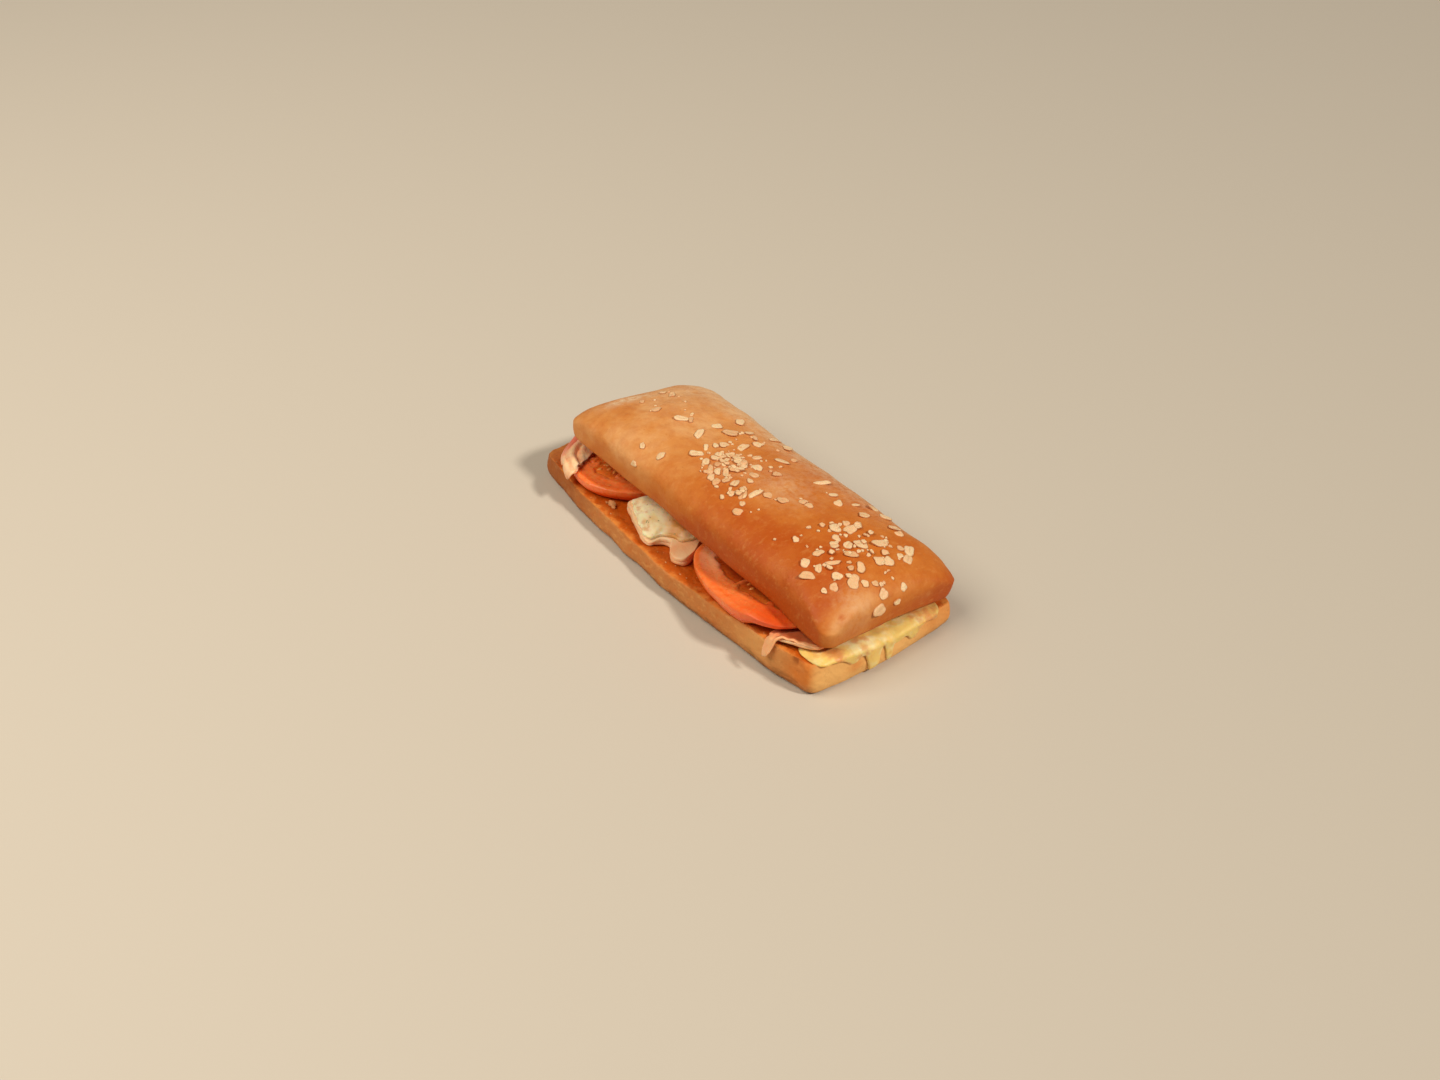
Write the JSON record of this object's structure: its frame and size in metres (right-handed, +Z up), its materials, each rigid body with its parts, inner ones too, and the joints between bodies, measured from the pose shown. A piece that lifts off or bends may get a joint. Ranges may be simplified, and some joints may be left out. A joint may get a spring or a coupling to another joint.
{
  "type": "turkey and cheese sandwich",
  "caption": "Toasted oblong roll cut level, filled with sliced turkey, melted cheese and tomato that show along its open side.",
  "frame": {"origin": "middle of the bounding box's underside, where the roll rests", "axes": "+X along the roll towards the end with the dripping cheese, +Y towards the side where the halves almost meet, -Y the open side, +Z up"},
  "size_m": [0.203, 0.089, 0.0439],
  "materials": {
    "crust": null,
    "bread": "matt toasted crust and cut crumb",
    "turkey": "moist sliced meat",
    "cheese": "soft melted cheese",
    "tomato": "wet tomato flesh and skin"
  },
  "bodies": {
    "root": {"bottom_roll": "bread", "cheese_end": "cheese", "turkey_right": "turkey", "turkey_middle": "turkey", "cheese_middle": "cheese", "tomato_left": "tomato", "tomato_right": "tomato", "turkey_left": "turkey", "top_roll": "crust"}
  },
  "joints": []
}
